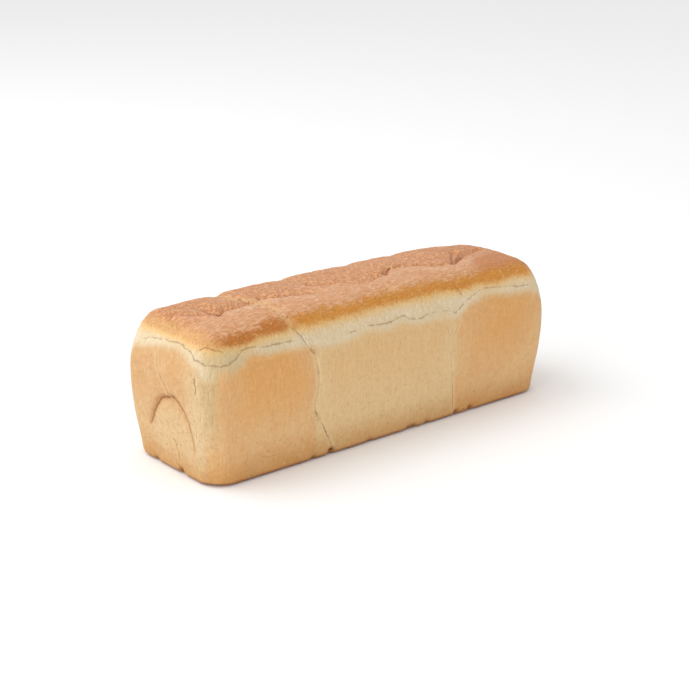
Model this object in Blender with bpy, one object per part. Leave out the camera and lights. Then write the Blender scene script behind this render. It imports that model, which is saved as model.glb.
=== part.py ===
"""A long tin loaf of white bread, as one closed solid.

Metres, +Z up. The loaf runs along X, its front side faces -Y, and the origin lies on its flat base, under
the middle. It was baked from five pieces of dough, set side by side in a tin: four seams cross the top
between them, and where the dough rose over the tin's rim it tore away from the side crust.

A place on the crust is told by its x and its girth. Girth is measured across the loaf from the middle of
the top, positive towards the back, and goes on down the walls past half the width.
"""

import bmesh
import bpy
import numpy as np

# The block that the loaf would be with sharp edges and upright walls.
LENGTH = 0.330
WIDTH = 0.108
WALL_HEIGHT = 0.1051
CROWN = 0.0066  # how far the middle of the top rises above the block

# The tin narrows downwards from this height, by this much at each end and each side.
DRAFT_HEIGHT = 0.0745
DRAFTS = np.array((0.0075, 0.0043))

# Rounding, as radii along the loaf, across it and up it.
BASE_RADII = np.array((0.0180, 0.0202, 0.0065))
TIN_CORNER_RADII = np.array((0.0155, 0.0155, 0.0065))
SHOULDER_RADII = np.array((0.0225, 0.0239, 0.0399))
# How far the dough fills the tin's base edges and base corners, where 2 is round and more is fuller.
BASE_FULLNESS = 4.0
BASE_CORNER_FULLNESS = 3.0

# Seams between the pieces, as (girth, x) from the foot of the front wall to the foot of the back wall.
TOP_EDGE = WIDTH / 2
FOOT = TOP_EDGE + WALL_HEIGHT
SEAMS = (
    ((-FOOT, -0.055), (-0.110, -0.071), (-0.060, -0.076), (-0.020, -0.089), (0.020, -0.097), (FOOT, -0.096)),
    ((-FOOT, -0.018), (-TOP_EDGE, -0.018), (-0.020, -0.040), (0.030, -0.041), (FOOT, -0.038)),
    ((-FOOT, 0.041), (-TOP_EDGE, 0.041), (-0.020, 0.003), (0.020, 0.018), (FOOT, 0.022)),
    ((-FOOT, 0.066), (-0.095, 0.060), (-0.055, 0.075), (0.000, 0.064), (FOOT, 0.062)),
)
SEAM_DEPTH = 0.0028
SEAM_WIDTH = 0.0065
# How deep each seam is on the front of the top and on the walls, as shares of its depth further back.
FRONT_SHARES = (0.8, 0.3, 0.3, 0.5)
WALL_SHARES = (0.35, 0.0, 0.0, 0.35)

# Folds on the top, where each rolled piece closed, as lines of (x, y).
FOLDS = (
    ((-0.149, 0.012), (-0.140, 0.001), (-0.126, -0.010), (-0.108, -0.010), (-0.096, -0.009)),
    ((-0.089, -0.007), (-0.074, -0.012), (-0.048, -0.018)),
    ((-0.039, 0.002), (-0.033, -0.007), (-0.020, -0.008)),
    ((0.018, -0.010), (0.028, -0.011), (0.037, -0.005), (0.058, -0.011)),
    ((0.058, -0.011), (0.088, -0.020), (0.108, -0.013), (0.135, -0.002)),
)
FOLD_DEPTH = 0.0022
FOLD_WIDTH = 0.0060
DIMPLES = ((-0.124, -0.011), (0.026, -0.011), (0.088, -0.020))
DIMPLE_DEPTH = 0.0030
DIMPLE_WIDTH = 0.0080

# The arched fold on each end, where the rolled-up side of the last piece shows, as a line of (y, z).
ARCH = ((0.023, 0.028), (0.012, 0.045), (-0.004, 0.055), (-0.019, 0.056), (-0.028, 0.044), (-0.031, 0.025))
ARCH_DEPTH = 0.0014
ARCH_WIDTH = 0.0060

# The tear along the tin's rim.
TEAR_HEIGHT = 0.090
TEAR_DEPTH = 0.0009
TEAR_WIDTH = 0.0035

# Cells of the crust's grid: along each dough piece, across the loaf, and below and above the tear.
PIECE_CELLS = (12, 9, 9, 9, 15)
WIDTH_CELLS = 16
WALL_CELLS = (12, 3)
TEAR_SHARE = 0.921  # the share of the block's walls that is below the tear
GATHER = 0.55  # how strongly grid lines gather at the seams and the tear, from 0 to 1


def ease(low, high, values):
    """0 below low, 1 above high, and a smooth rise between."""
    share = np.clip((values - low) / (high - low), 0.0, 1.0)
    return share * share * (3.0 - 2.0 * share)


def block_points(x, girth):
    """Places on the sharp block, down to its base, from their x and girth."""
    below = np.maximum(np.abs(girth) - TOP_EDGE, 0.0)
    return np.stack([x, np.clip(girth, -TOP_EDGE, TOP_EDGE), WALL_HEIGHT - below], axis=1)


def crust_points(block):
    """Moves points from the sharp block onto the plain crust: rounded, drafted and crowned."""
    share = block[:, 2:] / WALL_HEIGHT
    radii = BASE_RADII + (TIN_CORNER_RADII - BASE_RADII) * ease(0.0, 0.35, share)
    radii = radii + (SHOULDER_RADII - radii) * ease(0.45, 0.80, share)
    radii[:, 2] = np.where(share[:, 0] > 0.5, SHOULDER_RADII[2], BASE_RADII[2])
    half = np.array((LENGTH / 2, WIDTH / 2, WALL_HEIGHT))
    core = np.clip(block, radii - half, half - radii)
    core[:, 2] = np.clip(block[:, 2], radii[:, 2], WALL_HEIGHT - radii[:, 2])
    out = (block - core) / radii
    out /= np.linalg.norm(out, axis=1, keepdims=True)
    level = np.linalg.norm(out[:, :2], axis=1)
    cornering = np.abs(out[:, :2]).min(axis=1) / np.maximum(level, 0.001)
    fullness = BASE_FULLNESS + (BASE_CORNER_FULLNESS - BASE_FULLNESS) * ease(0.0, 0.6, cornering)
    fullness = np.where(share[:, 0] > 0.5, 2.0, fullness)
    reach = (level**fullness + np.abs(out[:, 2]) ** fullness) ** (1.0 / fullness)
    crust = core + radii * out / reach[:, None]
    below = np.clip(1.0 - crust[:, 2:] / DRAFT_HEIGHT, 0.0, 1.0)
    crust[:, :2] *= 1.0 - below * DRAFTS / half[:2]
    lift = np.clip((crust[:, 2] - WALL_HEIGHT) / SHOULDER_RADII[2] + 1.0, 0.0, 1.0) ** 2
    spread = (1.0 - (crust[:, 1] / half[1]) ** 2) * (1.0 - (crust[:, 0] / half[0]) ** 4)
    crust[:, 2] += CROWN * lift * spread
    return crust


def seam_x(seam, girth):
    """Where a seam is along the loaf at these girths."""
    places, xs = zip(*seam)
    return np.interp(girth, places, xs)


def groove(distance, width):
    """A groove's profile: 1 in the middle, falling to nothing at about twice the width."""
    return np.exp(-((distance / width) ** 2))


def distance_to(line, points):
    """How far each point is from a line of points."""
    nearest = np.linalg.norm(points - line[0], axis=1)
    for start, end in zip(line, line[1:]):
        run = end - start
        share = np.clip((points - start) @ run / (run @ run), 0.0, 1.0)
        nearest = np.minimum(nearest, np.linalg.norm(points - start - share[:, None] * run, axis=1))
    return nearest


def on_top(plan):
    """A line on the top's crust from its (x, y) places."""
    x, y = np.array(plan).T
    return crust_points(block_points(x, y))


def on_end(side, plan):
    """A line on the crust of the end at this side, -1 or 1, from its (y, z) places."""
    y, z = np.array(plan).T
    return crust_points(np.stack([np.full(len(y), side * LENGTH / 2), y, z], axis=1))


def relief(points):
    """How deep the seams, folds, dimples and the tear cut in at each point of the crust."""
    depth = TEAR_DEPTH * groove(points[:, 2] - TEAR_HEIGHT, TEAR_WIDTH)
    on_wall = 1.0 - ease(TEAR_HEIGHT - 0.006, TEAR_HEIGHT + 0.012, points[:, 2])
    girths = np.linspace(-FOOT, FOOT, 41)
    for seam, front_share, wall_share in zip(SEAMS, FRONT_SHARES, WALL_SHARES):
        line = crust_points(block_points(seam_x(seam, girths), girths))
        strength = front_share + (1.0 - front_share) * ease(-0.030, 0.005, points[:, 1])
        strength += (wall_share - strength) * on_wall
        depth += SEAM_DEPTH * strength * groove(distance_to(line, points), SEAM_WIDTH)
    for fold in FOLDS:
        depth += FOLD_DEPTH * groove(distance_to(on_top(fold), points), FOLD_WIDTH)
    for dimple in DIMPLES:
        depth += DIMPLE_DEPTH * groove(distance_to(on_top([dimple]), points), DIMPLE_WIDTH)
    for side in (-1, 1):
        depth += ARCH_DEPTH * groove(distance_to(on_end(side, ARCH), points), ARCH_WIDTH)
    return depth * ease(0.0, BASE_RADII[2] / 2, points[:, 2])


def gathered(share):
    """Moves shares of a span towards both of its ends."""
    return share - GATHER * np.sin(2.0 * np.pi * share) / (2.0 * np.pi)


def along_seams(share, girth):
    """Turns even shares of the grid's length into x, so that its lines follow the seams."""
    lines = share * sum(PIECE_CELLS)
    edges = [np.full(len(girth), -LENGTH / 2)]
    edges += [seam_x(seam, girth) for seam in SEAMS]
    edges.append(np.full(len(girth), LENGTH / 2))
    x = edges[0].copy()
    for cells, start, end in zip(PIECE_CELLS, edges, edges[1:]):
        x += (end - start) * gathered(np.clip(lines / cells, 0.0, 1.0))
        lines = lines - cells
    return x


def up_walls(share):
    """Turns even shares of the grid's height into heights with lines gathered at the tear."""
    below, above = WALL_CELLS
    lines = share * (below + above)
    lower = gathered(np.clip(lines / below, 0.0, 1.0)) * TEAR_SHARE
    return WALL_HEIGHT * (lower + np.clip(lines / above - below / above, 0.0, 1.0) * (1.0 - TEAR_SHARE))


def cut(bm, axis, cells):
    """Cuts every edge that runs along an axis into this many cells."""
    edges = [e for e in bm.edges if abs((e.verts[0].co - e.verts[1].co)[axis]) > 0.0]
    bmesh.ops.subdivide_edges(bm, edges=edges, cuts=cells - 1, use_grid_fill=True)


def crust_material():
    material = bpy.data.materials.new("crust")
    material.use_nodes = True
    shader = material.node_tree.nodes["Principled BSDF"]
    shader.inputs["Base Color"].default_value = (0.63, 0.37, 0.15, 1.0)
    shader.inputs["Roughness"].default_value = 0.6
    shader.inputs["Metallic"].default_value = 0.0
    return material


def make_loaf():
    bm = bmesh.new()
    bmesh.ops.create_cube(bm, size=2.0)
    for axis, cells in enumerate((sum(PIECE_CELLS), WIDTH_CELLS, sum(WALL_CELLS))):
        cut(bm, axis, cells)
    cube = np.array([vertex.co for vertex in bm.verts])
    z = up_walls((cube[:, 2] + 1.0) / 2.0)
    girth = (TOP_EDGE * np.abs(cube[:, 1]) + WALL_HEIGHT - z) * np.sign(cube[:, 1])
    block = np.stack([along_seams((cube[:, 0] + 1.0) / 2.0, girth), cube[:, 1] * TOP_EDGE, z], axis=1)
    crust = crust_points(block)
    for vertex, place in zip(bm.verts, crust):
        vertex.co = place
    bm.normal_update()
    for vertex, depth in zip(bm.verts, relief(crust)):
        vertex.co -= vertex.normal * depth
    mesh = bpy.data.meshes.new("loaf")
    bm.to_mesh(mesh)
    bm.free()
    mesh.shade_smooth()
    mesh.materials.append(crust_material())
    bpy.context.collection.objects.link(bpy.data.objects.new("loaf", mesh))


def main():
    for old in list(bpy.data.objects):
        bpy.data.objects.remove(old)
    make_loaf()


main()
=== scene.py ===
"""The looks of a long tin loaf: one crust, baked, risen and torn as bread is, on a pale studio floor.

The crust is a fine grid shaped by Geometry Nodes. Lines drawn on it say where the pieces of dough
meet, where they were folded and where the crust tore, and the baker's finish is mixed from those lines.
"""

import math

import bpy
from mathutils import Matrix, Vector


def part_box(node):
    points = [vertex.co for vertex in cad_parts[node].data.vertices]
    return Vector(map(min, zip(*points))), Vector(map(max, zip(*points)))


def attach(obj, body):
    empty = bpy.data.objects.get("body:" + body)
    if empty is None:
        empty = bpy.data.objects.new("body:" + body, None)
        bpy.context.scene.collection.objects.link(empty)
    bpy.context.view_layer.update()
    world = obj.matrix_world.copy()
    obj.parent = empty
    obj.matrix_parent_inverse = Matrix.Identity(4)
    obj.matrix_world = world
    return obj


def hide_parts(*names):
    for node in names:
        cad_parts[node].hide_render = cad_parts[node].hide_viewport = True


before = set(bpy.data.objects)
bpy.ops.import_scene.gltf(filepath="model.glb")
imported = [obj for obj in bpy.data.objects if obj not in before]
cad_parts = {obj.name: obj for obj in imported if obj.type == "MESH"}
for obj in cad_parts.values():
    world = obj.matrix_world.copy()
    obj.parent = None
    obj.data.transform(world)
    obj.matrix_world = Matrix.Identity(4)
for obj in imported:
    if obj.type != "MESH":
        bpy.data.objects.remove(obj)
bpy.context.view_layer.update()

MM = 0.001

# The loaf's box from the frame. X runs along the loaf, and its front side faces -Y.
LOW, HIGH = (Vector(corner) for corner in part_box("loaf"))
SIZE = HIGH - LOW

# The block that the loaf would be with sharp edges and upright walls, and how it is shaped from there.
CROWN = 6.6 * MM
SHOULDER_RISE = 39.9 * MM
BLOCK = Vector((SIZE.x * 1.004, SIZE.y * 1.008, SIZE.z - CROWN))
SHAPE = {
    "Block": ("vector", BLOCK),
    "Base radii": ("vector", Vector((18.0, 20.2, 5.0)) * MM),
    "Corner radii": ("vector", Vector((15.5, 15.5, 5.0)) * MM),
    "Shoulder radii": ("vector", Vector((22.5 * MM, 23.9 * MM, SHOULDER_RISE))),
    "Base fullness": ("number", 4.5),  # how far the dough fills the tin's base edges, where 2 is round
    "Base corner fullness": ("number", 3.0),
    "Draft height": ("number", 74.5 * MM),
    "Drafts": ("vector", Vector((7.5, 4.3, 0.0)) * MM),
    "Crown": ("number", CROWN),
}
GRID = (249, 82, 84)  # points of the crust's grid along, across and up

# --- Lines on the crust, in millimetres ---------------------------------------------------------------

FRONT, BACK = -BLOCK.y / 2 / MM, BLOCK.y / 2 / MM
LEFT, RIGHT = -BLOCK.x / 2 / MM, BLOCK.x / 2 / MM
TOP = BLOCK.z / MM
SHOULDER_FOOT = TOP - SHOULDER_RISE / MM


def on_block(height):
    """The height on the sharp block that its rounding brings to this height on the crust."""
    climb = max(height - SHOULDER_FOOT, 0.0) / (TOP - SHOULDER_FOOT)
    return min(height, SHOULDER_FOOT) + (TOP - SHOULDER_FOOT) * climb / math.sqrt(1.0 - climb * climb)


def over(*places):
    """A line over the top through (x, y) places."""
    return [(x, y, TOP) for x, y in places]


def front(*places):
    """A line on the front wall through (x, z) places."""
    return [(x, FRONT, on_block(z)) for x, z in places]


def back(*places):
    """A line on the back wall through (x, z) places."""
    return [(x, BACK, on_block(z)) for x, z in places]


def left(*places):
    """A line on the left end through (y, z) places."""
    return [(LEFT, y, on_block(z)) for y, z in places]


def right(*places):
    """A line on the right end through (y, z) places."""
    return [(RIGHT, y, on_block(z)) for y, z in places]


# A trait of a line is one number, or a pair that runs from the line's start to its end.
# Seams are (places, valley depth, valley width, paleness of the stretched dough in them).
SEAM_LINES = [
    (
        back((-93, 94)) + over((-94, 50), (-97, 24), (-93, 6), (-88, -26), (-85, -38)),
        (2.6, 0.8), 6.5, (0.7, 1.0),
    ),
    ([(-86, -34, TOP), (-84, -43, 102), (-79, -49, 94)] + front((-75, 83), (-70, 66)), 0.9, 4.0, (1, 0.2)),
    (front((-71, 71.5), (-70, 57.5), (-73, 43.5), (-71, 33.5), (-63, 17.5), (-56, 3.5)), 0.5, 4.0, 0.0),
    (back((-94, 89.5), (-91, 75.5), (-94, 45.5), (-90, 20.5), (-93, 3.5)), 0.7, 4.5, 0.0),
    (back((-38, 93.5)) + over((-38, 50), (-39, 22), (-36, 5), (-33, -8)), (1.6, 0.4), 6.5, (0.6, 0.0)),
    (back((20, 93.5)) + over((22, 50), (24, 32), (25, 10)), (1.5, 0.6), 6.5, (0.6, 0.1)),
    (over((17, -24), (15, -32), (12, -40)), 0.3, 3.0, 0.7),
    (back((68, 93.5)) + over((66, 50), (69, 22), (64, 4), (62, -8)), (1.4, 0.5), 6.0, (0.5, 0.0)),
    ([(75, -44, 100), (72, -52, 92)] + front((66, 83), (63, 71), (59, 61), (58, 49)), 0.6, 4.5, 0.0),
    (front((58, 53.5), (61, 37.5), (63, 21.5), (66, 2.5)), 0.6, 4.5, 0.0),
    (back((68, 89.5), (63, 79.5), (58, 55.5), (60, 30.5), (54, 3.5)), 0.7, 4.5, 0.0),
]
# Folds are (places, valley depth, valley width, crease depth, rise of the lobe on the line's right).
FOLD_LINES = [
    (over((-152, 9), (-144, 11), (-138, 0), (-130, -7), (-124, -11)), (0.8, 2.2), 4, (0.6, 1.3), (0.4, 1.4)),
    (over((-138, 24), (-128, 14), (-125, 2), (-124, -9)), (0.6, 2.4), 6.0, (0.2, 0.9), 0.0),
    (over((-124, -11), (-118, -9), (-105, -9), (-95, -7), (-88, -5)), (3.4, 1.6), 4.2, (2, 0.9), (1.8, 0.8)),
    (over((-87, -4), (-79, -7), (-72, -11), (-63, -12), (-44, -19)), (2.6, 0.8), 4.2, 1.3, (1.7, 0.8)),
    (over((-38, 6), (-34, -5), (-25, -7), (-12, -8)), (2.8, 0.8), 4.0, (1.6, 0.5), (1.4, 0.5)),
    (over((-12, -14), (2, -19), (24, -14)), (0.4, 1.6), 5.0, (0.2, 0.5), (0.5, 1.2)),
    (over((25, -13), (30, -10), (35, -6), (40, -3)), (2.4, 1.2), 3.8, (1.3, 0.9), 0.9),
    (
        over((38, -5), (49, -8), (59, -11), (67, -17), (79, -20), (88, -20)),
        (1.6, 3.0), 4.2, (1.0, 1.8), (1.2, 1.8),
    ),
    (over((88, -20), (94, -14), (101, -6), (112, 6)), (2.2, 0.8), 3.4, (1.1, 0.5), -0.6),
    (over((88, -20), (98, -16), (108, -10), (123, -5), (141, 2)), (2.6, 2.2), 4.4, (1.5, 1.3), (1.8, 1.5)),
    (left((24, 27.5), (18, 36.5), (11, 46.5), (3, 53.5), (-10, 57.5)), (0.7, 1.5), 3.0, (0.5, 0.9), -0.9),
    (
        left((-5, 57.5), (-13, 57), (-21, 51.5), (-27, 43.5), (-31, 32.5), (-33, 19.5)),
        (1.1, 0.4), 2.4, (0.7, 0.35), -0.6,
    ),
    (right((-24, 25.5), (-19, 38.5), (-10, 49.5), (2, 55.5)), 1.2, 3.0, 0.5, -0.7),
    (right((2, 55.5), (12, 56.5), (21, 48.5), (27, 36.5), (29, 22.5)), 0.8, 2.4, 0.3, -0.5),
]
# Cracks are (places, depth, paleness of their raised edges), the paleness partly a painted highlight.
CRACK_LINES = [
    ([(-157, -34, 96.5), (-154, -38, 98.5), (-150, -43, 97.5), (-143, -47, 95.5)], 0.8, 0.3),
    (left((10, 88), (5, 77), (0, 68), (-5, 61), (-8, 56)), (0.5, 1.1), 0.4),
    (left((-1, 84), (-4, 74), (-5, 66), (-7, 60)), (0.3, 0.6), 0.3),
    (left((10, 14.5), (5, 17.5), (1, 21.5)), (0.2, 0.6), 0.4),
    (left((-6, 27), (-9, 22), (-11, 16), (-10, 9)), (1.4, 0.8), 0.4),
    (left((-38, 80), (-40, 72), (-39, 66.5)), 0.9, 0.4),
    (left((-43, 60), (-44, 54), (-43, 48)), 0.6, 0.3),
    (left((-34, 64), (-35, 58), (-34, 53)), 0.5, 0.3),
    (left((20, 74), (18, 68), (19, 63)), 0.4, 0.3),
    (left((-36, 50.5), (-38, 41.5), (-37, 33.5)), 0.6, 0.3),
    (left((-34, 21.5), (-35, 13.5), (-33, 5.5)), 0.4, 0.2),
    ([(-86, -43, 101.5), (-81, -48, 97.5)] + front((-79, 91.5), (-76, 83.5)), (1.1, 0.5), 0.6),
    (front((-74, 94.5), (-72, 87.5), (-69, 81.5)), 0.4, 0.4),
    (front((-77, 86.5), (-75, 84.5), (-72, 78.5), (-71, 70.5), (-70, 59.5), (-71, 51.5)), (1.0, 0.9), 1.0),
    (front((-70, 57), (-73, 45.5), (-73, 37.5), (-70, 28.5)), (0.9, 1.0), 1.0),
    (front((-73, 38.5), (-77, 35.5), (-81, 31.5)), (0.6, 0.2), 0.4),
    (front((-71, 34), (-64, 20.5), (-58, 8.5), (-56, 2.5)), (0.8, 1.0), 0.7),
    (front((-75, 31.5), (-74, 21.5), (-75, 13.5)), (0.5, 0.2), 0.2),
    (front((66, 81.5), (63, 72.5), (59, 65.5), (57, 55.5)), (0.4, 0.6), 0.6),
    (front((57, 55.5), (58, 47.5), (61, 35.5), (63, 21.5), (66, 1.5)), (0.4, 0.7), 0.6),
    (front((56, 29.5), (51, 16.5), (47, 5.5)), (0.2, 0.5), 0.3),
    (front((-122, 15.5), (-115, 13.5), (-108, 14.5)), 0.5, 0.2),
    ([(34, -44, 101.5), (33, -48, 97.5)], 0.5, 0.2),
    ([(67, -41, 103.5), (70, -45, 100.5), (73, -49, 94.5)], (0.3, 0.9), 0.2),
    ([(-34, -42, 102.5), (-30, -46, 98.5), (-28, -49, 94.5)], (0.2, 0.4), 0.2),
    ([(8, -42, 102.5), (11, -46, 98.5), (12, -49, 94.5)], (0.2, 0.4), 0.2),
    ([(46, -42, 102.5), (49, -46, 98.5)], 0.3, 0.2),
    (right((-2, 75.5), (1, 67.5), (4, 57.5)), 0.7, 0.3),
    (right((8, 25.5), (9, 19.5), (9, 13.5)), 0.7, 0.2),
    (back((-91, 87.5), (-92, 73.5), (-95, 55.5), (-92, 35.5), (-90, 20.5), (-93, 3.5)), 0.7, 0.8),
    (back((67, 89.5), (62, 75.5), (58, 55.5), (60, 37.5), (58, 20.5), (54, 4.5)), 0.6, 0.8),
    (back((66, 65.5), (64, 53.5), (61, 39.5)), 0.4, 0.4),
]
# The tear is (places, strength), all round the loaf.
TEAR_LINES = [
    (left((44, 87.5), (24, 91), (9, 93.5), (-3, 94.5), (-14, 95.5)), (0.5, 0.9)),
    (left((-14, 95.5), (-27, 93.5), (-36, 91)) + [(-158, -41, 89), (-155, -46, 89)], 1.0),
    ([(-155, -46, 89), (-150, -50, 88)] + front((-144, 87.5), (-137, 89.5), (-129, 93.5), (-119, 93.5)), 1.0),
    (front((-119, 93.5), (-110, 92), (-99, 92), (-82, 90.5), (-71, 88.5)), (0.9, 0.4)),
    (front((-71, 88.5), (-53, 86.5), (-36, 87.5), (-23, 89.5)), (0.2, 0.5)),
    (front((-23, 89.5), (-4, 87.5), (10, 89.5), (22, 85.5), (31, 86), (51, 86.5), (62, 83.5)), (0.8, 0.4)),
    (front((62, 83.5), (68, 85.5), (76, 89.5), (94, 93.5), (112, 92.5), (130, 90.5), (148, 88.5)), 0.6),
    ([(148, -50, 88.5)] + right((-44, 88.5), (-25, 91.5), (0, 93.5), (25, 90.5), (44, 87.5)), 0.7),
    (right((44, 87.5)) + back((150, 88.5), (118, 91.5), (95, 89.5), (68, 85.5), (40, 88.5), (5, 90.5)), 0.7),
    (back((5, 90.5), (-30, 87.5), (-62, 89.5), (-93, 85.5), (-120, 90.5), (-148, 87.5)), 0.7),
    (back((-148, 87.5)) + left((44, 87.5)), 0.5),
]
# Dimples and slumps on the top, and notches along the base edge, as (centre, depth, width).
DIMPLES = [
    ((-124, -11, 110.5), 2.2, 3.6),
    ((26, -13, 110.5), 1.6, 3.4),
    ((88, -20, 109.5), 2.2, 3.6),
    ((128, 34, 108.5), 0.8, 20.0),
    ((146, 46, 103.5), 3.0, 20.0),
]
NOTCHES = [
    ((-72, -50, 2), 1.6, 2.2),
    ((-56, -50, 3), 3.4, 2.4),
    ((-20, -50, 2), 0.9, 3.0),
    ((18, -50, 2), 1.4, 2.6),
    ((23, -50, 2), 1.6, 2.4),
    ((36, -50, 2), 1.2, 2.4),
    ((66, -50, 3), 2.2, 2.0),
    ((81, -50, 3), 2.2, 2.0),
    ((-157, -11, 3), 2.6, 2.6),
    ((-157, 20, 2), 1.6, 2.6),
    ((157, 8, 3), 2.4, 2.6),
    ((-88, 50, 3), 1.3, 2.6),
    ((58, 50, 3), 1.3, 2.6),
]
CREASE_WIDTH = 1.8 * MM
LOBE_WIDTH = 8.0 * MM
LINE_STEP = 0.8 * MM


def make_lines(name, lines, *traits):
    """A mesh of loose lines, which carries each line's traits on its points."""
    mesh = bpy.data.meshes.new(name)
    places, edges = [], []
    columns = {trait: [] for trait in traits}
    for line, *values in lines:
        edges += [(len(places) + i, len(places) + i + 1) for i in range(len(line) - 1)]
        places += [Vector(place) * MM for place in line]
        for column, value in zip(columns.values(), values):
            start, end = value if isinstance(value, tuple) else (value, value)
            column += [start + (end - start) * i / (len(line) - 1) for i in range(len(line))]
    mesh.from_pydata(places, edges, [])
    for trait, column in columns.items():
        mesh.attributes.new(trait, "FLOAT", "POINT").data.foreach_set("value", column)
    lines = bpy.data.objects.new(name, mesh)
    bpy.context.collection.objects.link(lines)
    return lines


# --- Wiring ---------------------------------------------------------------------------------------------

SOCKETS = {
    "number": "NodeSocketFloat",
    "vector": "NodeSocketVector",
    "count": "NodeSocketInt",
    "shape": "NodeSocketGeometry",
    "lines": "NodeSocketObject",
    "finish": "NodeSocketMaterial",
}


class Wire:
    """A value that runs between nodes. Arithmetic on wires lays the nodes that work it out."""

    def __init__(self, bench, socket):
        self.bench = bench
        self.socket = socket

    def __add__(self, other):
        return self.bench.sum("ADD", self, other)

    def __sub__(self, other):
        return self.bench.sum("SUBTRACT", self, other)

    def __rsub__(self, other):
        return self.bench.sum("SUBTRACT", other, self)

    def __mul__(self, other):
        return self.bench.sum("MULTIPLY", self, other)

    def __rmul__(self, other):
        return self.bench.sum("MULTIPLY", other, self)

    def __truediv__(self, other):
        return self.bench.sum("DIVIDE", self, other)

    def __rtruediv__(self, other):
        return self.bench.sum("DIVIDE", other, self)

    def __pow__(self, other):
        return self.bench.sum("POWER", self, other)

    def __neg__(self):
        return self.bench.sum("MULTIPLY", self, -1.0)

    def __abs__(self):
        return self.bench.sum("ABSOLUTE", self)


def is_vector(value):
    """Whether a wire or a plain value is a vector or a colour."""
    if isinstance(value, Wire):
        return value.socket.type in ("VECTOR", "RGBA")
    return not isinstance(value, (int, float))


class Bench:
    """A node tree being laid out."""

    def __init__(self, tree):
        self.tree = tree

    def lay(self, kind, inputs=None, **settings):
        """Lays a node with its settings, and feeds its inputs by name or number."""
        node = self.tree.nodes.new(kind)
        for name, value in settings.items():
            setattr(node, name, value)
        for key, value in (inputs or {}).items():
            self.feed(node.inputs[key], value)
        return node

    def feed(self, socket, value):
        if isinstance(value, Wire):
            self.tree.links.new(value.socket, socket)
        elif socket.type == "VECTOR" and isinstance(value, (int, float)):
            socket.default_value = (value, value, value)
        else:
            socket.default_value = value

    def wire(self, kind, inputs=None, output=0, **settings):
        """Lays a node and gives one of its outputs."""
        return Wire(self, self.lay(kind, inputs, **settings).outputs[output])

    def sum(self, operation, *values, output=0):
        kind = "ShaderNodeVectorMath" if any(map(is_vector, values)) else "ShaderNodeMath"
        return self.wire(kind, dict(enumerate(values)), output, operation=operation)

    def least(self, *values):
        return self.sum("MINIMUM", *values)

    def most(self, *values):
        return self.sum("MAXIMUM", *values)

    def clamp(self, value):
        return self.most(0.0, self.least(1.0, value))

    def length(self, vector):
        return self.sum("LENGTH", vector, output="Value")

    def dot(self, one, other):
        return self.sum("DOT_PRODUCT", one, other, output="Value")

    def ease(self, low, high, value):
        """0 below low, 1 above high, and a smooth rise between. With low above high it falls."""
        ends = {"Value": value, "From Min": low, "From Max": high}
        return self.wire("ShaderNodeMapRange", ends, interpolation_type="SMOOTHSTEP")

    def bell(self, distance, width):
        """1 at no distance, falling to nothing at about twice the width."""
        share = distance / width
        return self.sum("EXPONENT", -(share * share))

    def mix(self, share, one, other):
        """A blend of two numbers, or of two vectors or colours."""
        if is_vector(one) or is_vector(other):
            return self.wire("ShaderNodeMix", {0: share, 6: one, 7: other}, 2, data_type="RGBA")
        return self.wire("ShaderNodeMix", {0: share, 2: one, 3: other}, 0, data_type="FLOAT")

    def split(self, vector):
        node = self.lay("ShaderNodeSeparateXYZ", {0: vector})
        return [Wire(self, output) for output in node.outputs]

    def join(self, x, y, z):
        return self.wire("ShaderNodeCombineXYZ", {0: x, 1: y, 2: z})

    def noise(self, place, scale, detail=2.0, roughness=0.5, distortion=0.0, output=0):
        """Even noise from 0 to 1 whose lumps are about 1 / scale metres across."""
        inputs = {"Vector": place, "Scale": scale, "Detail": detail, "Roughness": roughness}
        inputs["Distortion"] = distortion
        return self.wire("ShaderNodeTexNoise", inputs, output)


class Group(Bench):
    """A node group with named inputs, as {name: (kind, value)}, and named outputs, as {name: kind}."""

    def __init__(self, name, tree_kind, takes, gives):
        super().__init__(bpy.data.node_groups.new(name, tree_kind))
        for label, (kind, value) in takes.items():
            socket = self.tree.interface.new_socket(label, in_out="INPUT", socket_type=SOCKETS[kind])
            if value is not None:
                socket.default_value = value
        for label, kind in gives.items():
            self.tree.interface.new_socket(label, in_out="OUTPUT", socket_type=SOCKETS[kind])
        self.given = self.tree.nodes.new("NodeGroupInput")
        self.made = self.tree.nodes.new("NodeGroupOutput")

    def take(self, label):
        return Wire(self, self.given.outputs[label])

    def give(self, **results):
        for label, wire in results.items():
            self.feed(self.made.inputs[label], wire)


def place_group(bench, group, inputs):
    """Lays a group in another tree and gives its outputs by name."""
    kind = "GeometryNodeGroup" if bench.tree.bl_idname == "GeometryNodeTree" else "ShaderNodeGroup"
    node = bench.lay(kind, node_tree=group.tree)
    for label, value in inputs.items():
        bench.feed(node.inputs[label], value)
    return {output.name: Wire(bench, output) for output in node.outputs}


# --- The crust's shape ------------------------------------------------------------------------------------


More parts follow.
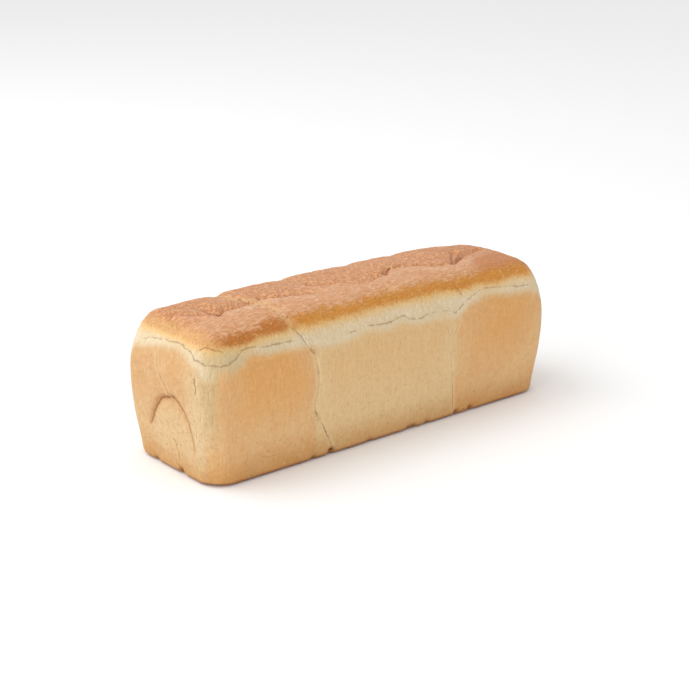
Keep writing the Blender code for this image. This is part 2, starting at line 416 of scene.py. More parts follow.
def make_tin_shape():
    """The group that moves a place on or near the sharp block onto the plain crust."""
    group = Group("tin shape", "GeometryNodeTree", {"Place": ("vector", None), **SHAPE}, {"Place": "vector"})
    place, block = group.take("Place"), group.take("Block")
    base, shoulder = group.take("Base radii"), group.take("Shoulder radii")
    _, _, z = group.split(place)
    length, width, height = group.split(block)
    share = z / height
    radii = group.mix(group.ease(0.0, 0.35, share), base, group.take("Corner radii"))
    radii = group.mix(group.ease(0.45, 0.80, share), radii, shoulder)
    radius_x, radius_y, _ = group.split(radii)
    _, _, base_z = group.split(base)
    _, _, shoulder_z = group.split(shoulder)
    upper = group.sum("GREATER_THAN", share, 0.5)
    radius_z = group.mix(upper, base_z, shoulder_z)
    radii = group.join(radius_x, radius_y, radius_z)
    far = group.join(length * 0.5, width * 0.5, height) - radii
    near = group.join(radius_x - length * 0.5, radius_y - width * 0.5, radius_z)
    core = group.most(near, group.least(far, place))
    out = group.sum("NORMALIZE", (place - core) / radii)

    # The base edges are fuller than round, and its corners a little.
    x, y, z = group.split(out)
    level = (x * x + y * y) ** 0.5
    cornering = group.least(abs(x), abs(y)) / group.most(level, 0.001)
    corner_fullness = group.take("Base corner fullness")
    fullness = group.mix(group.ease(0.0, 0.6, cornering), group.take("Base fullness"), corner_fullness)
    fullness = group.mix(upper, fullness, 2.0)
    out = out / (level**fullness + abs(z) ** fullness) ** (1.0 / fullness)

    x, y, z = group.split(core + radii * out)
    below = group.clamp(1.0 - z / group.take("Draft height"))
    draft_x, draft_y, _ = group.split(group.take("Drafts"))
    x = x * (1.0 - below * draft_x / (length * 0.5))
    y = y * (1.0 - below * draft_y / (width * 0.5))
    lift = group.clamp((z - height) / shoulder_z + 1.0) ** 2.0
    across, along = abs(y) / (width * 0.5), abs(x) / (length * 0.5)
    spread = (1.0 - across**2.0) * (1.0 - along**4.0)
    group.give(Place=group.join(x, y, z + group.take("Crown") * lift * spread))
    return group


def place_lines(bench, tin_shape, sizes, source, wander, lumps):
    """Turns an object's loose lines into points on the plain crust, close together and a little unsteady."""
    info = bench.lay("GeometryNodeObjectInfo", {"Object": source}, transform_space="ORIGINAL")
    curves = bench.wire("GeometryNodeMeshToCurve", {"Mesh": Wire(bench, info.outputs["Geometry"])})
    along = bench.wire("GeometryNodeSplineParameter")
    inputs = {"Geometry": curves, "Name": "along", "Value": along}
    curves = bench.wire("GeometryNodeStoreNamedAttribute", inputs, data_type="FLOAT", domain="POINT")
    curves = bench.wire("GeometryNodeCurveSplineType", {"Curve": curves}, spline_type="CATMULL_ROM")
    points = bench.lay("GeometryNodeCurveToPoints", {"Curve": curves, "Length": LINE_STEP}, mode="LENGTH")
    place = bench.wire("GeometryNodeInputPosition")
    drift = bench.noise(place, 1.0 / lumps, 3.0, 0.6, output=1) - 0.5
    onto = place_group(bench, tin_shape, {"Place": place + drift * wander, **sizes})
    inputs = {"Geometry": Wire(bench, points.outputs["Points"]), "Position": onto["Place"]}
    placed = bench.wire("GeometryNodeSetPosition", inputs)
    return placed, Wire(bench, points.outputs["Tangent"])


def nearest_line(bench, placed, tangent, place, normal):
    """Reads the nearest of the placed lines: how far off it is, how far to its right, and a trait reader."""
    index = bench.wire("GeometryNodeSampleNearest", {0: placed, 1: place}, domain="POINT")

    def read(value, data_type="FLOAT"):
        inputs = {"Geometry": placed, "Value": value, "Index": index}
        return bench.wire("GeometryNodeSampleIndex", inputs, data_type=data_type, domain="POINT")

    def trait(name):
        return read(bench.wire("GeometryNodeInputNamedAttribute", {"Name": name}, data_type="FLOAT"))

    nearest = read(bench.wire("GeometryNodeInputPosition"), "FLOAT_VECTOR")
    run = read(tangent, "FLOAT_VECTOR")
    off = place - nearest
    slip = bench.most(-LINE_STEP, bench.least(LINE_STEP, bench.dot(off, run)))
    off = off - run * slip
    reach = bench.length(off)
    side = bench.sum("SIGN", bench.dot(off, bench.sum("CROSS_PRODUCT", run, normal)))
    return reach, reach * side, nearest, trait


class CrustTree(Group):
    """The tree that grids the block, bakes it into the loaf and draws every line on it."""

    def __init__(self):
        takes = {
            **SHAPE,
            "Points along": ("count", GRID[0]),
            "Points across": ("count", GRID[1]),
            "Points up": ("count", GRID[2]),
            "Seams": ("lines", None),
            "Folds": ("lines", None),
            "Cracks": ("lines", None),
            "Tear": ("lines", None),
            "Unevenness": ("number", 1.6 * MM),
            "Top lumps": ("number", 1.1 * MM),
            "Top blisters": ("number", 0.5 * MM),
            "Wall lumps": ("number", 0.25 * MM),
            "Tear depth": ("number", 0.35 * MM),
            "Finish": ("finish", None),
        }
        super().__init__("crust", "GeometryNodeTree", takes, {"Crust": "shape"})
        self.tin_shape = make_tin_shape()
        self.sizes = {label: self.take(label) for label in SHAPE}
        self.place = self.wire("GeometryNodeInputPosition")
        self.normal = self.wire("GeometryNodeInputNormal")
        self.crust = self.grid_block()
        self.mark_tear()
        self.mark_seams()
        self.mark_folds()
        self.mark_cracks()
        self.mark_notches()
        self.swell()
        self.hand_over()

    def grid_block(self):
        """The sharp block as a fine grid, moved onto the plain crust."""
        block = self.sizes["Block"]
        ways = zip("XYZ", ("along", "across", "up"))
        points = {f"Vertices {axis}": self.take(f"Points {way}") for axis, way in ways}
        grid = self.wire("GeometryNodeMeshCube", {"Size": block, **points})
        _, _, height = self.split(block)
        standing = self.place + self.join(0.0, 0.0, height * 0.5)
        onto = place_group(self, self.tin_shape, {"Place": standing, **self.sizes})
        return self.wire("GeometryNodeSetPosition", {"Geometry": grid, "Position": onto["Place"]})

    def store(self, name, value):
        inputs = {"Geometry": self.crust, "Name": name, "Value": value}
        kind = "GeometryNodeStoreNamedAttribute"
        self.crust = self.wire(kind, inputs, data_type="FLOAT", domain="POINT")

    def recall(self, name):
        return self.wire("GeometryNodeInputNamedAttribute", {"Name": name}, data_type="FLOAT")

    def find(self, label, wander, lumps):
        """Finds the nearest line of one kind from every place on the crust."""
        placed, tangent = place_lines(self, self.tin_shape, self.sizes, self.take(label), wander, lumps)
        return nearest_line(self, placed, tangent, self.place, self.normal)

    def fading(self, trait, share):
        """1 along most of a line, falling to 0 over this share of it at each end."""
        along = trait("along")
        return self.ease(0.0, share, along) * self.ease(0.0, share, 1.0 - along)

    def mark_tear(self):
        """The tear, how far above it each place is, and which way the crust faces there."""
        _, across, nearest, trait = self.find("Tear", 3.5 * MM, 7.0 * MM)
        _, _, height = self.split(self.place)
        _, _, tear_height = self.split(nearest)
        self.store("tear across", across)
        self.store("tear strength", trait("strength"))
        self.store("rise", height - tear_height)
        along, outward, upward = self.split(self.normal)
        level = along * along + outward * outward
        self.store("upward", upward)
        self.store("corner", abs(along * outward) * 2.0 / self.most(level, 0.01))

    def mark_seams(self):
        """Seams, where stretched and paler dough lies in a valley."""
        reach, _, _, trait = self.find("Seams", 4.0 * MM, 9.0 * MM)
        fade = self.fading(trait, 0.08)
        self.store("seam reach", reach)
        self.store("seam pale", trait("pale") * fade * self.bell(reach, 5.5 * MM))
        self.store("seam dip", trait("valley") * fade * self.bell(reach, trait("valley width") * MM))

    def mark_folds(self):
        """Folds, whose valley lies behind the crease and whose lobe rises in front of it."""
        reach, across, _, trait = self.find("Folds", 3.0 * MM, 8.0 * MM)
        fade = self.fading(trait, 0.10)
        width = trait("valley width") * MM
        dip = trait("valley") * self.bell(across + width * 0.4, width)
        dip = dip + trait("crease") * self.bell(reach, CREASE_WIDTH)
        in_front = self.ease(-CREASE_WIDTH, CREASE_WIDTH, across)
        dip = dip - trait("lobe") * in_front * self.bell(reach, LOBE_WIDTH)
        self.store("fold across", across)
        self.store("fold reach", reach)
        self.store("fold crease", trait("crease") * fade)
        self.store("fold dip", dip * fade)

    def mark_cracks(self):
        """Thin cracks, with raised edges."""
        reach, across, _, trait = self.find("Cracks", 2.4 * MM, 4.0 * MM)
        fade = self.fading(trait, 0.12)
        self.store("crack across", across)
        self.store("crack reach", reach)
        self.store("crack depth", trait("depth") * fade)
        self.store("crack edges", trait("edges") * fade * self.bell(reach, 2.3 * MM))

    def pits(self, places):
        """The depth of round pits at these places, in millimetres."""
        depth_here = 0.0
        for centre, depth, width in places:
            off = self.length(self.place - Vector(centre) * MM)
            depth_here = depth * self.bell(off, width * MM) + depth_here
        return depth_here

    def mark_notches(self):
        self.store("notch", self.pits(NOTCHES))

    def swell(self):
        """Moves the crust along its normal by its lumps and by the depths of its lines."""
        recall, noise = self.recall, self.noise
        _, _, height = self.split(self.place)
        above_base = self.ease(1.0 * MM, 12.0 * MM, height)
        risen = self.ease(-2.0 * MM, 8.0 * MM, recall("rise"))
        level = self.ease(0.85, 0.97, recall("upward"))
        behind = self.ease(0.0 * MM, -5.0 * MM, recall("fold across")) * level
        swell = (noise(self.place, 24.0, 1.0) - 0.5) * self.take("Unevenness")
        lumps = noise(self.place, 150.0, 2.0, 0.5) - 0.5
        swell = swell + lumps * self.mix(risen, self.take("Wall lumps"), self.take("Top lumps"))
        blisters = noise(self.place, 340.0, 1.0, 0.5) - 0.5
        swell = swell + blisters * risen * self.take("Top blisters") * (behind * 0.8 + 0.2)
        dips = recall("seam dip") + recall("fold dip") - recall("crack edges") * 0.8
        dips = dips + recall("crack depth") * 1.1 * self.bell(recall("crack reach"), 1.2 * MM)
        dips = dips + self.pits(DIMPLES)
        tear = self.take("Tear depth") * recall("tear strength")
        tear = tear * self.bell(recall("tear across"), 1.4 * MM)
        swell = (swell - tear - dips * MM) * above_base - recall("notch") * MM
        inputs = {"Geometry": self.crust, "Offset": self.normal * swell}
        self.crust = self.wire("GeometryNodeSetPosition", inputs)

    def hand_over(self):
        """Drops what the finish doesn't read, and gives the crust its finish."""
        for spare in ("seam dip", "fold dip"):
            inputs = {"Geometry": self.crust, "Name": spare}
            self.crust = self.wire("GeometryNodeRemoveAttribute", inputs)
        inputs = {"Geometry": self.crust, "Shade Smooth": True}
        crust = self.wire("GeometryNodeSetShadeSmooth", inputs)
        crust = self.wire("GeometryNodeRealizeInstances", {"Geometry": crust})
        inputs = {"Geometry": crust, "Material": self.take("Finish")}
        self.give(Crust=self.wire("GeometryNodeSetMaterial", inputs))


def bake_crust(finish):
    """Makes the loaf's crust as a plain mesh in the frame's box."""
    group = CrustTree()
    guides = {
        "Seams": make_lines("seams", SEAM_LINES, "valley", "valley width", "pale"),
        "Folds": make_lines("folds", FOLD_LINES, "valley", "valley width", "crease", "lobe"),
        "Cracks": make_lines("cracks", CRACK_LINES, "depth", "edges"),
        "Tear": make_lines("tear", TEAR_LINES, "strength"),
    }
    maker = bpy.data.objects.new("crust maker", bpy.data.meshes.new("crust maker"))
    bpy.context.collection.objects.link(maker)
    modifier = maker.modifiers.new("crust", "NODES")
    modifier.node_group = group.tree
    named = {item.name: item.identifier for item in group.tree.interface.items_tree if item.in_out == "INPUT"}
    for label, guide in guides.items():
        modifier[named[label]] = guide
    modifier[named["Finish"]] = finish
    graph = bpy.context.evaluated_depsgraph_get()
    mesh = bpy.data.meshes.new_from_object(maker.evaluated_get(graph), depsgraph=graph)
    mesh.name = "loaf_crust"
    for helper in (maker, *guides.values()):
        bpy.data.objects.remove(helper)
    crust = bpy.data.objects.new("loaf_crust", mesh)
    bpy.context.collection.objects.link(crust)
    return crust


# --- The crust's finish ----------------------------------------------------------------------------------


def plain(r, g, b):
    """A colour as a screen shows it, from 0 to 255, made linear."""
    shares = (value / 255 for value in (r, g, b))
    return (*(s / 12.92 if s <= 0.04045 else ((s + 0.055) / 1.055) ** 2.4 for s in shares), 1.0)


# The risen top, from the pebbled crust behind the folds to the smooth lobes and the shoulder.
TOAST = plain(200, 132, 78)
# The darkest toast, also used as painted shade along the creases.
TOAST_DARK_AND_CREASE_SHADE = plain(182, 108, 58)
TOAST_LIGHT = plain(224, 162, 108)
# The lobes' rose is partly their own colour and partly painted sheen.
TOAST_ROSE_SHEEN = plain(222, 172, 130)
# A painted highlight for the crests of the lobes.
CREST_HIGHLIGHT = plain(230, 186, 152)
TOAST_RUDDY = plain(194, 122, 64)
SHOULDER = plain(206, 136, 42)
SHOULDER_DEEP = plain(186, 110, 28)
SHOULDER_LIGHT = plain(222, 172, 112)
SEAM_PALE = plain(226, 180, 122)
HONEY = plain(222, 178, 108)
# The torn band.
CREAM = plain(224, 206, 174)
CREAM_SHADE = plain(204, 178, 132)
# The tin-baked walls.
GOLD = plain(220, 172, 116)
GOLD_PALE = plain(222, 190, 140)
GOLD_DEEP = plain(221, 162, 92)
# Pale flecks on the walls, and the paler raised edges of cracks, partly a painted highlight.
GOLD_EDGE_AND_RIDGE_HIGHLIGHT = plain(230, 202, 150)
CORNER_GOLD = plain(203, 174, 124)
END_PALE = plain(212, 182, 138)
END_GOLD = plain(208, 171, 122)
END_DEEP = plain(206, 160, 108)
# Flecks, streaks and pores on the walls, and the painted shade beside the folds.
FLECK_AND_FOLD_SHADE = plain(176, 118, 60)
BASE_BROWN = plain(184, 122, 34)
BASE_LINE = plain(166, 100, 44)
# Painted shade inside folds, cracks and notches.
CREVICE_SHADE = plain(132, 70, 22)
TEAR_BROWN = plain(158, 124, 86)


def make_thin_line():
    """The group that draws a fine, ragged line where the signed distance to it is small."""
    takes = {
        "Place": ("vector", None),
        "Across": ("number", 0.0),
        "Reach": ("number", 0.0),
        "Width": ("number", 1.0 * MM),
        "Wander": ("number", 1.0 * MM),
        "Steadiness": ("number", 0.0),
    }
    group = Group("thin line", "ShaderNodeTree", takes, {"Mask": "number"})
    place, width = group.take("Place"), group.take("Width")
    bent = (group.noise(place, 130.0, 2.0) - 0.5) * 2.4 + (group.noise(place, 480.0, 2.0, 0.7) - 0.5) * 1.6
    bent = bent * group.take("Wander")
    worn = group.ease(0.30, 0.62, group.noise(place, 240.0, 2.0, 0.7)) * 1.6
    width = width * group.mix(group.take("Steadiness"), worn, 1.0)
    line = 1.0 - group.ease(width * 0.25, width + 0.1 * MM, abs(group.take("Across") + bent))
    near = 1.0 - group.ease(2.0 * MM, 3.5 * MM, group.take("Reach"))
    group.give(Mask=line * near)
    return group


def make_mottling():
    """The group for browned patches: broad ones, and small blisters within them."""
    takes = {
        "Place": ("vector", None),
        "Patch size": ("number", 20.0 * MM),
        "Blister size": ("vector", Vector((1.9, 2.9, 2.2)) * MM),
    }
    group = Group("mottling", "ShaderNodeTree", takes, {"Patches": "number", "Blisters": "number"})
    place = group.take("Place")
    patches = group.noise(place, 1.0 / group.take("Patch size"), 3.0, 0.55)
    blisters = group.noise(place / group.take("Blister size"), 1.0, 2.0, 0.55, 0.15)
    group.give(Patches=group.ease(0.36, 0.64, patches), Blisters=group.ease(0.34, 0.62, blisters))
    return group


def make_pores():
    """The group for the little holes and pocks that the tin's wall leaves in a crust."""
    takes = {"Place": ("vector", None), "Spacing": ("number", 4.0 * MM), "Amount": ("number", 0.4)}
    group = Group("pores", "ShaderNodeTree", takes, {"Holes": "number"})
    place = group.take("Place")
    drift = group.noise(place, 300.0, 2.0, output=1) - 0.5
    bent = place + drift * (2.5 * MM)
    cells = group.lay("ShaderNodeTexVoronoi", {"Vector": bent, "Scale": 1.0 / group.take("Spacing")})
    distance = Wire(group, cells.outputs["Distance"])
    chosen, _, depth = group.split(Wire(group, cells.outputs["Color"]))
    present = group.sum("LESS_THAN", chosen, group.take("Amount"))
    group.give(Holes=(1.0 - group.ease(0.06, 0.26, distance)) * present * (depth * 0.7 + 0.3))
    return group


def make_streaks():
    """The group for fine streaks, drawn out by these lengths along, across and up the loaf."""
    takes = {"Place": ("vector", None), "Lengths": ("vector", Vector((1.6, 1.6, 16.0)) * MM)}
    group = Group("streaks", "ShaderNodeTree", takes, {"Streaks": "number"})
    stretched = group.take("Place") / group.take("Lengths")
    group.give(Streaks=group.ease(0.30, 0.70, group.noise(stretched, 1.0, 2.0, 0.6, 0.3)))
    return group


# Where the walls change: the edges of the paler panel between the seams, and where the end walls begin.
PANEL_LEFT_FRONT = -71 * MM
PANEL_LEFT_BACK = -91 * MM
PANEL_RIGHT = 61 * MM
END_WALL = (150 * MM, 160 * MM)
# Heights over which the torn band turns honey coloured and then toasted.
HONEY_HEIGHTS = (89.5 * MM, 97.5 * MM)
TOAST_HEIGHTS = (94.5 * MM, 99.5 * MM)


class Finish(Bench):
    """The baked crust: toasted on top, cream where it tore, gold on the walls and brown along the base."""

    def __init__(self):
        self.material = bpy.data.materials.new("baked crust")
        self.material.use_nodes = True
        super().__init__(self.material.node_tree)
        self.place = self.wire("ShaderNodeTexCoord", output="Object")
        self.x, self.y, self.z = self.split(self.place)
        self.lay_effects()
        self.find_areas()
        colour = self.paint_walls()
        colour = self.paint_band(colour)
        colour = self.paint_top(colour)
        colour = self.paint_lines(colour)
        shader = self.tree.nodes["Principled BSDF"]
        self.feed(shader.inputs["Base Color"], colour)
        sheen = self.mix(self.risen, 0.68, 0.52) + (self.blisters - 0.5) * 0.10
        self.feed(shader.inputs["Roughness"], sheen)
        self.feed(shader.inputs["Normal"], self.raise_relief())

    def drawn(self, name):
        """Something that the shape's lines stored on the crust."""
        return self.wire("ShaderNodeAttribute", output="Fac", attribute_name=name)

    def effect(self, group, **inputs):
        """Lays one of the shared effects at this place."""
        return place_group(self, group, {"Place": self.place, **inputs})

    def lay_effects(self):
        """The mottling, streaks, pores and slow drifts that the colours and the relief share."""
        self.patches, self.blisters = self.effect(make_mottling()).values()
        streaks, pores = make_streaks(), make_pores()
        lengths = Vector((5.5, 1.6, 3.0)) * MM
        self.streaks = self.effect(streaks)["Streaks"]
        self.sweeps = self.effect(streaks, Lengths=lengths)["Streaks"]
        self.pores = self.effect(pores)["Holes"]
        self.fine_pores = self.effect(pores, Spacing=2.3 * MM, Amount=0.35)["Holes"]
        self.grain = self.noise(self.place, 300.0, 3.0, 0.65)
        self.wander = (self.noise(self.place, 90.0, 2.0) - 0.5) * (8.0 * MM)
        self.drift = (self.noise(self.place, 55.0, 3.0, 0.6) - 0.5) * (7.0 * MM)
        self.drift = self.drift + (self.streaks - 0.5) * (2.2 * MM)

    def find_areas(self):
        """Masks of the crust's areas, and the drawn lines that more than one of them reads."""
        x, y, z, wander = self.x, self.y, self.z, self.wander
        self.rise, self.upward = self.drawn("rise"), self.drawn("upward")
        self.fold_reach, self.fold_across = self.drawn("fold reach"), self.drawn("fold across")
        self.crease = self.drawn("fold crease")
        self.end_wall = self.ease(*END_WALL, abs(x))
        wavy_x = x + wander * 0.3
        panel_left = self.ease(-20 * MM, 20 * MM, y) * (PANEL_LEFT_BACK - PANEL_LEFT_FRONT) + PANEL_LEFT_FRONT
        self.middle = self.ease(-3 * MM, 3 * MM, wavy_x - panel_left)
        self.middle = self.middle * (1.0 - self.ease(-3 * MM, 3 * MM, wavy_x - PANEL_RIGHT))
        self.corner = self.ease(0.70, 1.0, self.drawn("corner"))
        low_crust = self.ease(-128 * MM, -104 * MM, x) * (1.0 - self.ease(46 * MM, 84 * MM, x))
        self.climb = z + self.drift * 0.7 - low_crust * (2.0 * MM)
        self.climb = self.climb - self.ease(-150 * MM, -160 * MM, x) * (2.5 * MM)
        self.risen = self.ease(*TOAST_HEIGHTS, self.climb)
        self.low = 1.0 - self.ease(16 * MM, 66 * MM, z + wander)
        behind = self.ease(-17 * MM, -6 * MM, y + wander + (self.patches - 0.5) * (6.0 * MM))
        beyond = self.ease(1.0 * MM, -2.0 * MM, self.fold_across)
        beside_fold = self.bell(self.fold_reach, 5.0 * MM) * self.clamp(self.crease * 3.0)
        self.behind = self.mix(beside_fold, behind, beyond)

    def paint_walls(self):
        """A paler panel between the two seams, deep gold under the band, and brown along the base."""
        x, y, z, wander, drift = self.x, self.y, self.z, self.wander, self.drift
        end_wall, middle, corner, patches = self.end_wall, self.middle, self.corner, self.patches
        beside = end_wall * self.ease(-14 * MM, -42 * MM, y + wander)
        in_arch = self.length(self.join((y + 5 * MM) / (26 * MM), (z - 20 * MM) / (33 * MM), 0.0))
        in_arch = end_wall * (1.0 - self.ease(0.75, 1.05, in_arch))
        wall = self.mix(middle * 0.9, GOLD, GOLD_PALE)
        wall = self.mix((patches - 0.5) * 0.5 + 0.15, wall, GOLD_PALE)
        wall = self.mix(end_wall, wall, self.mix(self.clamp(beside + in_arch * 0.5), END_GOLD, END_PALE))

        seam_reach = self.drawn("seam reach") + wander
        deep = self.ease(-2.5 * MM, -10.0 * MM, self.rise + drift) * self.ease(18 * MM, 72 * MM, z + wander)
        deep = deep * self.ease(1.0 * MM, 17.0 * MM, seam_reach) * (1.0 - middle * 0.75)
        deep = deep * (1.0 - self.bell(seam_reach, 26 * MM) * self.ease(40 * MM, 70 * MM, x) * 0.7)
        deep = deep * (1.0 - (1.0 - end_wall) * self.ease(124 * MM, 156 * MM, abs(x) + wander))
        deep = deep * (1.0 - self.most(corner, self.most(beside, in_arch * 0.8)))
        deep = deep * (patches * 0.3 + 0.7)
        wall = self.mix(deep, wall, self.mix(end_wall, GOLD_DEEP, END_DEEP))
        wall = self.mix(corner * self.ease(24 * MM, 62 * MM, z) * 0.8, wall, CORNER_GOLD)
        wall = self.mix(corner * (1.0 - self.ease(20 * MM, 50 * MM, z)) * 0.7, wall, GOLD)
        base = 1.0 - self.ease(-1 * MM, 28 * MM, z + drift)
        wall = self.mix(base * 0.62, wall, BASE_BROWN)

        coarse = end_wall * 0.12
        wall = self.mix(self.ease(0.50, 0.70, self.grain) * (coarse + 0.16), wall, FLECK_AND_FOLD_SHADE)
        wall = self.mix(self.ease(0.48, 0.28, self.grain) * (coarse + 0.20), wall, GOLD_EDGE_AND_RIDGE_HIGHLIGHT)
        wall = self.mix(self.streaks * self.ease(36 * MM, 76 * MM, z) * 0.16, wall, FLECK_AND_FOLD_SHADE)
        pores = self.pores + self.fine_pores * 0.7
        wall = self.mix(pores * (self.low * 0.35 + 0.08), wall, FLECK_AND_FOLD_SHADE)
        # The raised edges of cracks turn paler, partly their own colour and partly a painted highlight.
        wall = self.mix(self.drawn("crack edges") * 0.8, wall, GOLD_EDGE_AND_RIDGE_HIGHLIGHT)
        base_line = 1.0 - self.ease(0.8 * MM, 4.5 * MM, z + drift * 0.2)
        return self.mix(base_line * 0.85, wall, BASE_LINE)

    def paint_band(self, wall):
        """The torn band above the rim, cream and duller towards the left."""
        band = self.ease(-7.0 * MM, -1.0 * MM, self.rise + self.drift + self.corner * (6.0 * MM))
        dull = self.ease(-84 * MM, -150 * MM, self.x) * (1.0 - self.end_wall) + self.corner * 0.5
        shade = self.clamp(self.streaks * 0.4 + self.patches * 0.2 + dull * 0.6)
        cream = self.mix(shade, CREAM, CREAM_SHADE)
        colour = self.mix(band * (1.0 - self.middle * 0.15), wall, cream)
        return self.mix(self.ease(*HONEY_HEIGHTS, self.climb) * 0.85, colour, HONEY)

    def paint_toast(self):
        """The flat of the top: pebbled behind the folds, and smooth on the lobes in front, whose rose is
        partly painted sheen and whose crests carry a painted highlight.
        """
        patches, blisters, sweeps = self.patches, self.blisters, self.sweeps
        pebbled = self.mix(blisters * 0.7 + sweeps * 0.15 + patches * 0.15, TOAST_DARK_AND_CREASE_SHADE, TOAST_LIGHT)
        # The lobes streak towards rose, partly their own colour and partly painted sheen.
        lobe = self.mix(sweeps * 0.6 + blisters * 0.25 + patches * 0.15, TOAST, TOAST_ROSE_SHEEN)
        ruddy = self.ease(88 * MM, 112 * MM, self.x + self.wander)
        lobe = self.mix(ruddy * 0.85, lobe, TOAST_RUDDY)
        # A painted highlight along the crest of each lobe, just in front of its fold.
        crest_highlight = self.bell(self.fold_across - 7.0 * MM, 4.0 * MM) * self.clamp(self.crease)
        lobe = self.mix(crest_highlight * (sweeps * 0.6 + 0.1), lobe, CREST_HIGHLIGHT)
        return self.mix(self.behind * (patches * 0.5 + 0.5), lobe, pebbled)

    def paint_shoulder(self):
        """The browned shoulder, deeper at the left of the front wall and lighter at the end."""
        shoulder = self.mix(self.ease(-92 * MM, -76 * MM, self.x + self.wander), SHOULDER_DEEP, SHOULDER)
        shoulder = self.mix(self.ease(-136 * MM, -156 * MM, self.x), shoulder, SHOULDER_LIGHT)
        shoulder = self.mix(self.streaks * 0.35, shoulder, SHOULDER_DEEP)
        return self.mix(self.ease(0.55, 0.70, self.grain) * 0.5, shoulder, HONEY)

    def paint_top(self, colour):
        """The risen top, with paler dough in its seams and painted shade along its creases."""
        facing = self.upward + (self.patches - 0.5) * 0.10
        facing = facing + (self.sweeps - 0.5) * 0.09 + (self.blisters - 0.5) * 0.05
        top = self.mix(self.ease(0.70, 0.91, facing), self.paint_shoulder(), self.paint_toast())
        knobs, seam_pale = self.noise(self.place, 240.0, 2.0), self.drawn("seam pale")
        top = self.mix(seam_pale * self.ease(0.46, 0.36, knobs) * 0.5, top, TOAST_DARK_AND_CREASE_SHADE)
        top = self.mix(seam_pale * self.ease(0.38, 0.58, knobs) * 0.7, top, SEAM_PALE)
        # Painted shade darkens the top along each crease.
        crease_shade = self.bell(self.fold_reach, 3.0 * MM) * self.clamp(self.crease)
        top = self.mix(crease_shade * 0.3, top, TOAST_DARK_AND_CREASE_SHADE)
        return self.mix(self.risen, colour, top)

    def paint_lines(self, colour):
        """Folds, cracks, the tear and the notches, each as a fine dark line, the folds, cracks and notches
        darkened with painted shade, and painted shade beside the folds on the walls.
        """
        thin_line, drawn, crease = make_thin_line(), self.drawn, self.crease
        on_top = self.ease(0.6, 0.9, self.upward)
        fold = {"Across": self.fold_across + on_top * (0.6 * MM), "Reach": self.fold_reach}
        fold = {**fold, "Width": crease * (1.3 * MM), "Wander": 0.5 * MM, "Steadiness": 0.7}
        self.fold = self.effect(thin_line, **fold)["Mask"] * self.clamp(crease * 1.6)
        depth = drawn("crack depth")
        crack = {"Across": drawn("crack across"), "Reach": drawn("crack reach"), "Width": depth * (0.8 * MM)}
        crack = {**crack, "Wander": 0.6 * MM, "Steadiness": 0.5}
        worn = self.ease(0.30, 0.55, self.noise(self.place, 75.0, 3.0, 0.6))
        self.crack = self.effect(thin_line, **crack)["Mask"] * self.clamp(depth) * (worn * 0.7 + 0.3)
        tear = {"Across": drawn("tear across"), "Width": 0.6 * MM, "Wander": 1.0 * MM}
        broken = self.noise(self.place, 110.0, 2.0) + drawn("tear strength") * 0.5
        self.tear = self.effect(thin_line, **tear)["Mask"] * self.ease(0.68, 0.95, broken)

        # Painted shade beside the folds on the walls, on their valley side.
        shade = self.bell(self.fold_across + 0.8 * MM, 2.2 * MM) * self.clamp(crease * 1.3)
        colour = self.mix(shade * (1.0 - on_top) * 0.7, colour, FLECK_AND_FOLD_SHADE)
        # The folds and cracks are darkened with painted shade.
        colour = self.mix(self.clamp(self.fold * 0.6), colour, CREVICE_SHADE)
        colour = self.mix(self.clamp(self.crack * 0.65), colour, CREVICE_SHADE)
        colour = self.mix(self.clamp(self.tear * 0.65), colour, TEAR_BROWN)
        # The notches along the base are darkened with painted shade.
        return self.mix(self.clamp(drawn("notch") * 0.5), colour, CREVICE_SHADE)

    def raise_relief(self):
        """The finest relief: pebbles and sweeps on the top, and streaks, grain and pores on the walls."""
        on_wall = 1.0 - self.risen
        relief = self.noise(self.place, 800.0, 3.0, 0.6) * 0.3
        pebbles = self.blisters * (self.behind * 0.9 + 0.3) + self.sweeps * (1.0 - self.behind) * 0.9
        relief = relief + self.risen * pebbles
        relief = relief + on_wall * (self.streaks * 0.4 + self.grain * (self.end_wall * 0.8 + 1.0))
        relief = relief - on_wall * (self.pores + self.fine_pores) * (self.low * 0.6 + 0.15)
        relief = relief - self.crack * 0.4 - self.tear * 0.3 - self.fold * 0.5
        return self.wire("ShaderNodeBump", {"Strength": 1.0, "Distance": 0.7 * MM, "Height": relief})


# --- The studio ------------------------------------------------------------------------------------------

FLOOR = 6.0
SKY = 0.86  # how strongly the white surroundings light the loaf
PAPER = (0.93, 0.93, 0.93, 1.0)
LAMPS = [
    # name, place, size, power
    ("soft key", (-1.0, 0.9, 1.8), 1.6, 20.0),
    ("soft side", (-1.8, -0.2, 0.7), 1.2, 8.0),
]


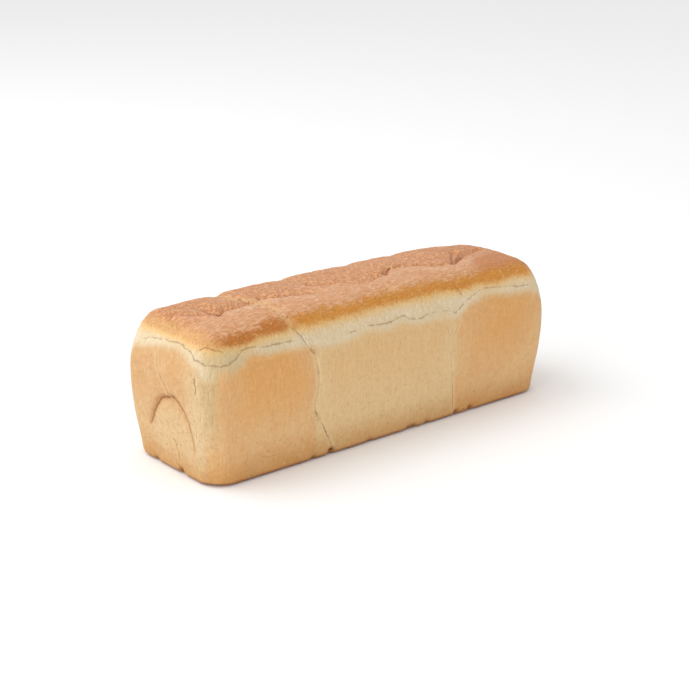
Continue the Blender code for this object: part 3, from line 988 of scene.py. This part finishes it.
def make_studio():
    """White paper under an even white sky, with two broad soft lamps behind and off the loaf's left end."""
    floor = bpy.data.objects.new("floor", bpy.data.meshes.new("floor"))
    corners = [(-FLOOR, -FLOOR, 0.0), (FLOOR, -FLOOR, 0.0), (FLOOR, FLOOR, 0.0), (-FLOOR, FLOOR, 0.0)]
    floor.data.from_pydata(corners, [], [(0, 1, 2, 3)])
    bpy.context.collection.objects.link(floor)
    paper = bpy.data.materials.new("white paper")
    paper.use_nodes = True
    shader = paper.node_tree.nodes["Principled BSDF"]
    shader.inputs["Base Color"].default_value = PAPER
    shader.inputs["Roughness"].default_value = 1.0
    shader.inputs["Specular IOR Level"].default_value = 0.0
    floor.data.materials.append(paper)

    world = bpy.data.worlds.new("studio")
    world.use_nodes = True
    bench = Bench(world.node_tree)
    seen = Wire(bench, bench.lay("ShaderNodeLightPath").outputs["Is Camera Ray"])
    background = world.node_tree.nodes["Background"]
    background.inputs["Color"].default_value = (1.0, 1.0, 1.0, 1.0)
    bench.feed(background.inputs["Strength"], bench.mix(seen, SKY, 1.0))
    bpy.context.scene.world = world

    for name, place, size, power in LAMPS:
        light = bpy.data.lights.new(name, "AREA")
        light.size = size
        light.energy = power
        lamp = bpy.data.objects.new(name, light)
        lamp.location = place
        aim = Vector((0.0, 0.0, SIZE.z / 2)) - lamp.location
        lamp.rotation_euler = aim.to_track_quat("-Z", "Y").to_euler()
        bpy.context.collection.objects.link(lamp)
    bpy.context.scene.view_settings.view_transform = "Standard"


def set_camera():
    """A long lens that looks at the loaf's front and left end from a little above."""
    azimuth, elevation, distance = math.radians(-39.7), math.radians(18.4), 1.1173
    target = Vector((-2.7, 0.0, 58.9)) * MM
    lens = bpy.data.cameras.new("camera")
    lens.sensor_width = 36.0
    lens.lens = 78.4
    camera = bpy.data.objects.new("camera", lens)
    level = math.cos(elevation)
    away = Vector((math.sin(azimuth) * level, -math.cos(azimuth) * level, math.sin(elevation)))
    camera.location = target + away * distance
    camera.rotation_euler = (-away).to_track_quat("-Z", "Y").to_euler()
    bpy.context.collection.objects.link(camera)
    bpy.context.scene.camera = camera


crust = bake_crust(Finish().material)
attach(crust, "root")
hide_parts("loaf")
make_studio()
set_camera()
